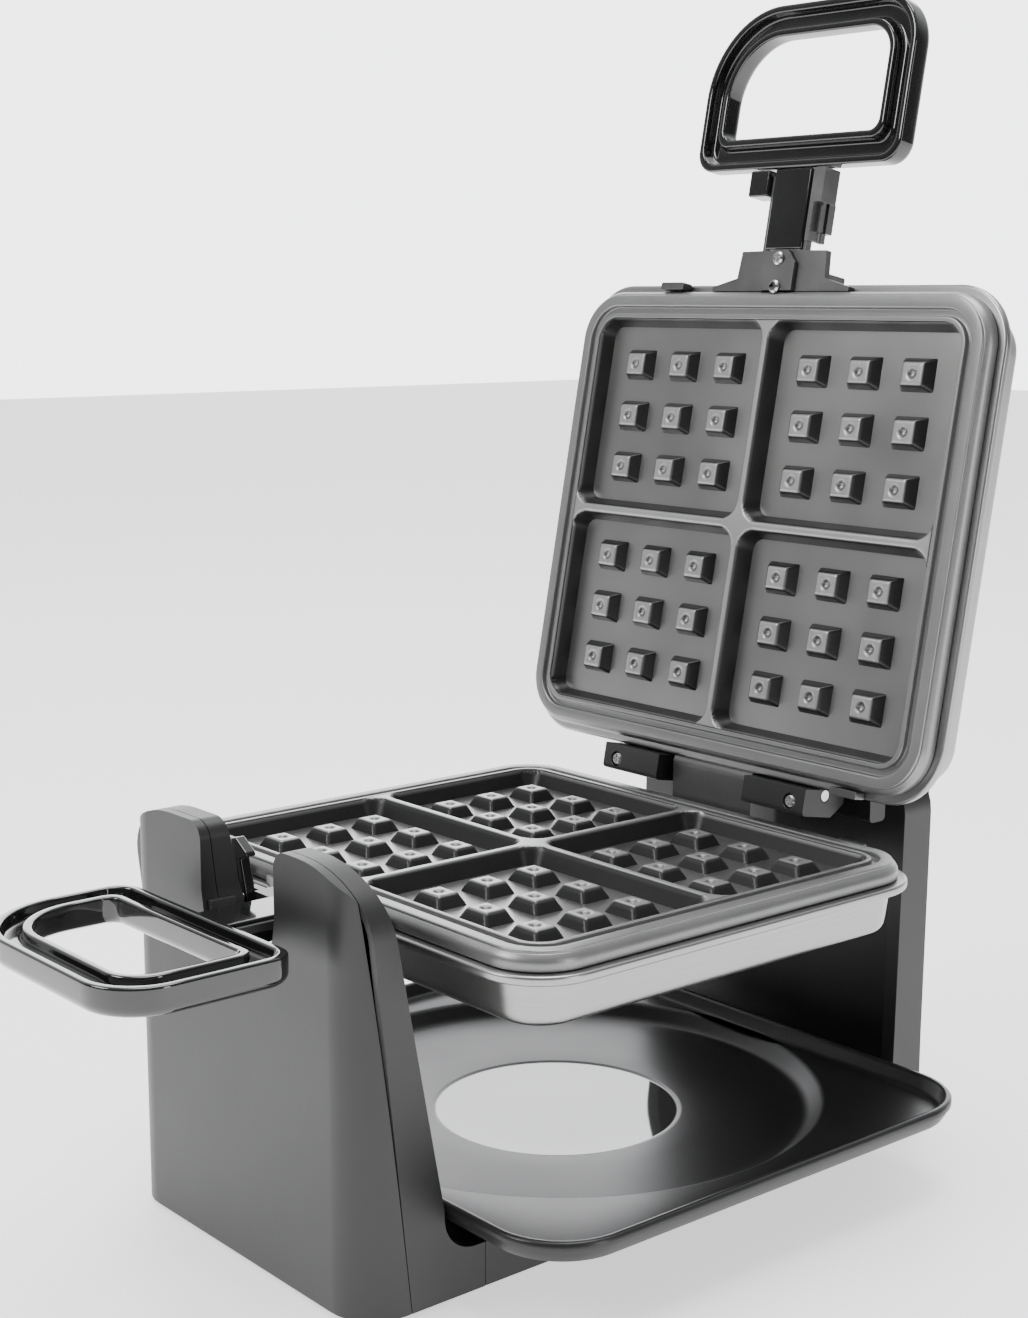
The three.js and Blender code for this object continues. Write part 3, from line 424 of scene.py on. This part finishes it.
def fillet(points, radii, steps=4):
    """Rounds the corners of a closed polyline. At each corner p with neighbours a and b, the points
    q(t) = (1-t)^2 (p + r u) + 2 t (1-t) p + t^2 (p + r v), with u and v the unit vectors from p to
    a and b and t from 0 to 1, take the corner's place. A radius of 0 keeps the corner."""
    points = np.asarray(points, float)
    radii = np.broadcast_to(radii, len(points))
    rows = []
    for before, p, after, radius in zip(np.roll(points, 1, 0), points, np.roll(points, -1, 0), radii):
        if radius <= 0:
            rows.append(p[None])
            continue
        u = (before - p) / np.linalg.norm(before - p)
        v = (after - p) / np.linalg.norm(after - p)
        t = np.linspace(0, 1, steps + 1)[:, None]
        rows.append((1 - t) ** 2 * (p + radius * u) + 2 * t * (1 - t) * p + t ** 2 * (p + radius * v))
    return np.concatenate(rows)


def rounded_box(x0, x1, y0, y1, radii, steps=14, straight=6):
    """A rectangle's outline, counter-clockwise from the lower left corner, whose corner of radius r
    about c is c + r (cos s, sin s) over a quarter turn. Each side gets points between its ends."""
    radii = np.broadcast_to(radii, 4)
    corners = [(x0, y0, 1, 1), (x1, y0, -1, 1), (x1, y1, -1, -1), (x0, y1, 1, -1)]
    arcs = []
    for k, ((x, y, sx, sy), r) in enumerate(zip(corners, radii)):
        s = math.pi + k * math.pi / 2 + np.linspace(0, math.pi / 2, steps + 1)
        arcs.append(np.stack([x + sx * r + r * np.cos(s), y + sy * r + r * np.sin(s)], 1))
    rows = []
    for arc, following in zip(arcs, arcs[1:] + arcs[:1]):
        t = np.linspace(0, 1, straight + 2)[1:-1, None]
        rows += [arc, arc[-1] * (1 - t) + following[0] * t]
    return np.concatenate(rows)


def grid_faces(rows, columns, wrap_rows, wrap_columns):
    """Quads between neighbouring points of a rows x columns sheet, closed round where asked."""
    i = np.arange(rows if wrap_rows else rows - 1)[:, None]
    j = np.arange(columns if wrap_columns else columns - 1)[None, :]
    ni, nj = (i + 1) % rows, (j + 1) % columns
    corners = [i * columns + j, i * columns + nj, ni * columns + nj, ni * columns + j]
    return np.stack([np.broadcast_to(c, (i.size, j.size)) for c in corners], -1).reshape(-1, 4)


def loop_surface(loops):
    """Points and faces of a ring: a stack of closed outlines that closes on itself."""
    rows, columns = loops.shape[:2]
    return loops.reshape(-1, 3), grid_faces(rows, columns, True, True).tolist()


def capped_surface(loops):
    """Points and faces of a stack of closed outlines whose first and last are filled."""
    rows, columns = loops.shape[:2]
    faces = grid_faces(rows, columns, False, True).tolist()
    faces.append(list(range(columns))[::-1])
    faces.append(list(range((rows - 1) * columns, rows * columns)))
    return loops.reshape(-1, 3), faces


def join_shells(*shells):
    """Points and faces of several closed shells as one mesh."""
    points, faces, start = [], [], 0
    for shell_points, shell_faces in shells:
        points.append(shell_points)
        faces += [[index + start for index in face] for face in shell_faces]
        start += len(shell_points)
    return np.concatenate(points), faces


def outward(mesh):
    """Turns every face of a closed mesh outwards."""
    work = bmesh.new()
    work.from_mesh(mesh)
    bmesh.ops.recalc_face_normals(work, faces=work.faces)
    work.to_mesh(mesh)
    work.free()


def add_piece(name, node, points_mm, faces, place, attributes, sharp_deg):
    """A mesh piece that stands for a CAD node. points_mm are millimetres in the piece's own frame
    and place is the matrix that puts them, in metres, where the node is."""
    turn = np.array(place.to_3x3())
    shift = np.array(place.translation)
    points = points_mm * MM @ turn.T + shift
    mesh = bpy.data.meshes.new(name)
    mesh.from_pydata(points.tolist(), [], faces)
    outward(mesh)
    half = mesh.attributes.new("half", "FLOAT_VECTOR", "POINT")
    half.data.foreach_set("vector", (points_mm * MM).astype(np.float32).ravel())
    for key, values in attributes.items():
        layer = mesh.attributes.new(key, "FLOAT", "POINT")
        layer.data.foreach_set("value", values.astype(np.float32))
    mesh.shade_smooth()
    mesh.set_sharp_from_angle(angle=math.radians(sharp_deg))
    mesh.materials.append(FINISHES[SLOTS[node]])
    piece = bpy.data.objects.new(name, mesh)
    bpy.context.collection.objects.link(piece)
    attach(piece, BODIES[node])
    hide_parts(node)


def half_place(upper):
    """Half frame to row frame. The half frame has the rim plane at 0 and +z towards the waffle."""
    if not upper:
        return Matrix.Translation((0, PLATE_MIDDLE_Y, FLIP.z - HALF_GAP))
    rise = HINGE.z - FLIP.z
    reach = HINGE.y - PLATE_MIDDLE_Y
    return (
        Matrix.Translation((0, HINGE.y, HINGE.z)) @ Matrix.Rotation(-LID_OPEN, 4, "X")
        @ Matrix.Translation((0, -reach, HALF_GAP - rise)) @ Matrix.Rotation(math.pi, 4, "Y")
    )


# ---------------------------------------------------------------- grill plates

def size_mm(node):
    """A CAD node's box size at rest."""
    low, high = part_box(node)
    return [(b - a) / MM for a, b in zip(low, high)]


SKIRT_X = size_mm("lower_plate")[0] / 2
SKIRT_Y = size_mm("lower_plate")[1] / 2
RIM_WIDTH = 12.4
FIELD_X = SKIRT_X - RIM_WIDTH
FIELD_Y = SKIRT_Y - RIM_WIDTH
FIELD_CORNER = 9.8
QUARTER = (104.0, 87.3)
PITCH = (27.7, 23.3)
STUD_TOP = (10.7, 9.4)
STUD_BASE = (21.7, 17.3)
STUD_DROP = 2.5
FIELD_DEPTH = 11.5
FIELD_DRAFT = 5.0
RIB_TOP = 3.5
BAY_CORNER = 8.5
DIMPLE_DEPTH = 1.3
DIMPLE_SPREAD = 3.2
PLATE_UNDERSIDE = -15.0
MESH_PITCH = 0.75


def soft_max(a, b, k):
    """Smooth maximum: (a + b + sqrt((a - b)^2 + k^2)) / 2."""
    return (a + b + np.sqrt((a - b) ** 2 + k ** 2)) / 2


def soft_min(a, b, k):
    return -soft_max(-a, -b, k)


def inside_box(x, y, half_x, half_y, radius):
    """Distance inside a rounded rectangle centred on 0, negative outside it."""
    qx = np.abs(x) - half_x + radius
    qy = np.abs(y) - half_y + radius
    outside = np.hypot(np.maximum(qx, 0), np.maximum(qy, 0))
    return radius - outside - np.minimum(np.maximum(qx, qy), 0)


def waffle_height(x, y):
    """Height of the waffle fields. With d the distance inside a field's outline, its walls fall as
    -d depth / draft to the floor. Each stud's height is its top less its depth times the larger of
    (|dx| - top) / (base - top) along x and y, less a dimple that fades as
    exp(-(r^2 / spread)^2)."""
    rib = RIB_TOP / 2
    middle = ((FIELD_X + rib) / 2, (FIELD_Y + rib) / 2)
    fx, fy = np.abs(x) - middle[0], np.abs(y) - middle[1]
    d = inside_box(fx, fy, (FIELD_X - rib) / 2, (FIELD_Y - rib) / 2, BAY_CORNER)
    bowl = soft_max(-d * FIELD_DEPTH / FIELD_DRAFT, -FIELD_DEPTH, 1.3)
    bowl = soft_min(bowl, 0, 0.5)
    ux = np.abs(x) - QUARTER[0] / 2
    uy = np.abs(y) - QUARTER[1] / 2
    dx = ux - np.clip(np.round(ux / PITCH[0]), -1, 1) * PITCH[0]
    dy = uy - np.clip(np.round(uy / PITCH[1]), -1, 1) * PITCH[1]
    slope_x = (np.abs(dx) - STUD_TOP[0] / 2) / (STUD_BASE[0] / 2 - STUD_TOP[0] / 2)
    slope_y = (np.abs(dy) - STUD_TOP[1] / 2) / (STUD_BASE[1] / 2 - STUD_TOP[1] / 2)
    fall = soft_max(soft_max(slope_x, slope_y, 0.05), 0, 0.05)
    dimple = DIMPLE_DEPTH * np.exp(-((dx ** 2 + dy ** 2) / DIMPLE_SPREAD) ** 2)
    stud = -STUD_DROP - (FIELD_DEPTH - STUD_DROP) * fall - dimple
    height = soft_max(bowl, stud, 0.5) - 0.02
    beyond = -inside_box(x, y, FIELD_X, FIELD_Y, FIELD_CORNER)
    return np.where(beyond > 0.2, np.minimum(height, -4.0), height)


def waffle_block():
    """A solid under the height field waffle_height, down to the plate's underside."""
    reach = 0.5
    nx = int(2 * (FIELD_X + reach) / MESH_PITCH)
    ny = int(2 * (FIELD_Y + reach) / MESH_PITCH)
    x, y = np.meshgrid(
        np.linspace(-FIELD_X - reach, FIELD_X + reach, nx),
        np.linspace(-FIELD_Y - reach, FIELD_Y + reach, ny), indexing="ij",
    )
    top = np.stack([x, y, waffle_height(x, y)], -1).reshape(-1, 3)
    faces = grid_faces(nx, ny, False, False).tolist()
    index = np.arange(nx * ny).reshape(nx, ny)
    border = np.concatenate([index[:-1, 0], index[-1, :-1], index[:0:-1, -1], index[0, :0:-1]])
    skirt = top[border].copy()
    skirt[:, 2] = PLATE_UNDERSIDE
    low = np.arange(len(border)) + nx * ny
    around = np.stack([border, np.roll(border, -1), np.roll(low, -1), low], -1)
    faces += around.tolist() + [low.tolist()]
    return np.concatenate([top, skirt]), faces


def swept_rect(profile, half_x, half_y, corner):
    """Carries a closed profile of (offset, z) points round a rounded rectangle: the point (o, z) of
    the profile lies on the rectangle grown by o, at height z."""
    loops = []
    for offset, z in profile:
        ring = rounded_box(
            -half_x - offset, half_x + offset, -half_y - offset, half_y + offset,
            max(corner + offset, 0.4),
        )
        loops.append(np.column_stack([ring, np.full(len(ring), z)]))
    return np.stack(loops)


def plate_rim():
    """Inner lip, groove, outer lip, step line and the skirt's rounded shoulder."""
    profile = fillet(
        [(0.7, -6.0), (0.0, 0.0), (2.0, 0.0), (2.0, -2.4), (5.2, -2.4), (5.2, 0.0), (10.2, 0.0),
         (10.2, -1.0), (10.7, -1.1), (12.4, -3.2), (12.4, -7.0), (8.0, -7.0)],
        [0, 0.35, 0.5, 0.7, 0.7, 0.7, 0.7, 0, 0.2, 1.6, 0.5, 0],
    )
    return loop_surface(swept_rect(profile, FIELD_X, FIELD_Y, FIELD_CORNER))


def add_plate(name, node, upper):
    """Fields and rim as one mesh. Two point attributes feed the finish's painted light and shade: a
    height fraction that grows from the field floors to the rim, for painted shade down in the fields,
    and a painted light that is 1 where the surface is level and falls with its slope."""
    points, faces = join_shells(waffle_block(), plate_rim())
    # Height fraction: 0 on the field floors, 1 at the rim; the finish paints shade darker the lower it
    # is.
    height_for_shade_and_gloss = np.clip(1 + points[:, 2] / 10.0, 0, 1)
    step = 0.6
    x, y = points[:, 0], points[:, 1]
    slope = np.hypot(
        waffle_height(x + step, y) - waffle_height(x - step, y),
        waffle_height(x, y + step) - waffle_height(x, y - step),
    ) / (2 * step)
    rim = -inside_box(x, y, FIELD_X, FIELD_Y, FIELD_CORNER) > -0.3
    # Painted light by slope: 1 on level field faces, falling on sloped walls, where shade is painted;
    # the whole rim gets a fixed middle value.
    painted_light_by_slope = np.where(rim, 0.62, np.clip(1.15 - slope / 0.85, 0, 1))
    add_piece(name, node, points, faces, half_place(upper), {"height_for_shade_and_gloss": height_for_shade_and_gloss, "painted_light_by_slope": painted_light_by_slope}, 55)


# ---------------------------------------------------------------- housings

FLANGE_X = size_mm("lower_housing")[0] / 2
FLANGE_Y = size_mm("lower_housing")[1] / 2
FLANGE_CORNER = 25.8
FLANGE_TOP = -7.3
FLANGE_LOW = -10.9
BODY_INSET = 6.5
BODY_LOW = -28.5
BODY_MIDDLE = -40


def add_housing(name, node, upper):
    """Pressed tub: rolled flange, root radius, drafted side and a generous bottom radius."""
    profile = fillet(
        [(BODY_MIDDLE, FLANGE_TOP), (0, FLANGE_TOP), (0, FLANGE_LOW), (-BODY_INSET, FLANGE_LOW - 0.2),
         (-BODY_INSET - 2.4, BODY_LOW), (BODY_MIDDLE, BODY_LOW)],
        [0, 1.3, 1.3, 1.6, 4.5, 0], steps=6,
    )
    loops = swept_rect(profile, FLANGE_X, FLANGE_Y, FLANGE_CORNER)
    points, faces = capped_surface(loops)
    add_piece(name, node, points, faces, half_place(upper), {}, 50)


# ---------------------------------------------------------------- handles

HANDLE_HALF = size_mm("lower_handle")[0] / 2
HANDLE_FRONT = 222.0
HANDLE_REAR = 152.0
HANDLE_BAND = 13.5


def add_handle(name, node, upper):
    """D-shaped loop. Its section is carried round two outlines: the point (u, z) of the section
    lies at outer + u (inner - outer), at height z."""
    left, right = (22, 38) if upper else (38, 22)
    outer = rounded_box(-HANDLE_HALF, HANDLE_HALF, -HANDLE_FRONT, -HANDLE_REAR, [left, right, 9, 9], 18)
    left, right = (12, 27) if upper else (27, 12)
    inset = HANDLE_BAND
    inner = rounded_box(
        -HANDLE_HALF + inset, HANDLE_HALF - inset, -HANDLE_FRONT + inset, -HANDLE_REAR - inset,
        [left, right, 5, 5], 18,
    )
    section = fillet(
        [(0.0, -1.0), (3.1, -1.0), (3.8, -6.0), (9.7, -6.0), (10.4, -1.0), (13.5, -1.0), (13.5, -9.4),
         (11.2, -12.0), (2.3, -12.0), (0.0, -9.4)],
        [1.1, 0.9, 1.4, 1.4, 0.9, 1.1, 1.8, 1.8, 1.8, 1.8], steps=5,
    )
    loops = [
        np.column_stack([outer + (inner - outer) * u / inset, np.full(len(outer), z)])
        for u, z in section
    ]
    points, faces = loop_surface(np.stack(loops))
    add_piece(name, node, points, faces, half_place(upper), {}, 60)


# ---------------------------------------------------------------- drip tray

TRAY_LOW, TRAY_HIGH = (np.array(corner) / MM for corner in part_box("drip_tray"))
TRAY_MIDDLE = (TRAY_LOW + TRAY_HIGH) / 2
TRAY_HALF = (TRAY_HIGH - TRAY_LOW) / 2
TRAY_CORNER = 30.0
TRAY_FLOOR = 31.8
WELL_RADIUS = 109.5
DISC_RADIUS = 50.5
DISC_HEIGHT = 22.5
SHEET = 1.9


def add_tray():
    """One closed sheet. Outlines grow from a small circle under the disc, out to the rim, over its
    roll and back in: square outlines p, and round ones R p / |p| about the same middle."""
    rim = TRAY_HIGH[2]
    square = [(-6.0, TRAY_FLOOR - SHEET), (-3.2, TRAY_FLOOR - SHEET), (-1.6, TRAY_FLOOR + 0.6),
              (-1.3, rim - 3.2), (0.0, rim - 3.0), (0.0, rim - 0.9), (-0.9, rim), (-2.4, rim),
              (-3.3, rim - 1.0), (-3.8, TRAY_FLOOR + 0.9), (-5.0, TRAY_FLOOR), (-8.0, TRAY_FLOOR)]
    round_top = [(WELL_RADIUS + 0.8, TRAY_FLOOR), (WELL_RADIUS - 0.4, TRAY_FLOOR - 0.35),
                 (WELL_RADIUS - 1.6, TRAY_FLOOR - 1.5), (WELL_RADIUS - 5.4, 27.2),
                 (WELL_RADIUS - 7.0, 25.8), (WELL_RADIUS - 9.0, 25.2), (WELL_RADIUS - 14, 24.9),
                 (DISC_RADIUS + 14, 23.6), (DISC_RADIUS + 1.6, 23.0), (DISC_RADIUS + 0.7, 22.9),
                 (DISC_RADIUS, DISC_HEIGHT + 0.1), (DISC_RADIUS - 1.0, DISC_HEIGHT),
                 (26.0, DISC_HEIGHT), (4.0, DISC_HEIGHT)]
    base = rounded_box(-TRAY_HALF[0], TRAY_HALF[0], -TRAY_HALF[1], TRAY_HALF[1], TRAY_CORNER, 20, 24)
    direction = base / np.linalg.norm(base, axis=1)[:, None]
    loops = []
    for radius, z in reversed(round_top):
        loops.append(np.column_stack([direction * radius, np.full(len(base), z - SHEET)]))
    for offset, z in square:
        ring = rounded_box(
            -TRAY_HALF[0] - offset, TRAY_HALF[0] + offset, -TRAY_HALF[1] - offset,
            TRAY_HALF[1] + offset, TRAY_CORNER + offset, 20, 24,
        )
        loops.append(np.column_stack([ring, np.full(len(base), z)]))
    for radius, z in round_top:
        loops.append(np.column_stack([direction * radius, np.full(len(base), z)]))
    points, faces = capped_surface(np.stack(loops))
    reach = np.hypot(points[:, 0], points[:, 1])
    disc = (reach < DISC_RADIUS - 0.5).astype(float)
    place = Matrix.Translation((TRAY_MIDDLE[0] * MM, TRAY_MIDDLE[1] * MM, 0))
    add_piece("tray_sheet", "drip_tray", points, faces, place, {"disc": disc}, 50)


# ---------------------------------------------------------------- refined CAD pieces

WELD = 1e-6
LEVEL_DEG = 0.6
EDGE_DEG = 32
EDGE_SEGMENTS = 3


def refine(node, bevel_mm):
    """A copy of a CAD node with clean faces, rounded edges and smooth curved stretches."""
    mesh = frame["nodes"][node].data.copy()
    mesh.name = node + "_fine"
    work = bmesh.new()
    work.from_mesh(mesh)
    bmesh.ops.remove_doubles(work, verts=work.verts, dist=WELD)
    bmesh.ops.dissolve_limit(
        work, angle_limit=math.radians(LEVEL_DEG), verts=work.verts, edges=work.edges,
    )
    bmesh.ops.recalc_face_normals(work, faces=work.faces)
    work.to_mesh(mesh)
    work.free()
    mesh.shade_smooth()
    mesh.materials.clear()
    mesh.materials.append(FINISHES[SLOTS[node]])
    piece = bpy.data.objects.new(node + "_fine", mesh)
    bpy.context.collection.objects.link(piece)
    bevel = piece.modifiers.new("edges", "BEVEL")
    bevel.width = bevel_mm * MM
    bevel.segments = EDGE_SEGMENTS
    bevel.limit_method = "ANGLE"
    bevel.angle_limit = math.radians(EDGE_DEG)
    shade = piece.modifiers.new("shading", "WEIGHTED_NORMAL")
    shade.keep_sharp = True
    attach(piece, BODIES[node])
    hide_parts(node)


BEVELS = {
    "front_cover": 1.2, "rear_cover": 1.2, "front_inner_shell": 0.9, "rear_inner_shell": 0.9,
    "base_pan": 0.5, "rear_yoke": 1.2, "hinge_ear_left": 1.0, "hinge_ear_right": 1.0,
    "lower_bracket": 0.5, "upper_bracket": 0.5, "lower_neck": 0.8, "upper_neck": 0.8,
    "latch_hook": 0.6, "guide_block": 0.8, "latch_clip": 0.4,
}
REBUILT = {
    "lower_plate", "upper_plate", "lower_housing", "upper_housing", "lower_handle", "upper_handle",
    "drip_tray",
}

add_camera()
add_studio(floor_finish())
for half, is_upper in (("lower", False), ("upper", True)):
    add_plate(half + "_grill", half + "_plate", is_upper)
    add_housing(half + "_tub", half + "_housing", is_upper)
    add_handle(half + "_loop", half + "_handle", is_upper)
add_tray()
for cad_node in frame["nodes"]:
    if cad_node not in REBUILT:
        refine(cad_node, BEVELS.get(cad_node, 0.25))
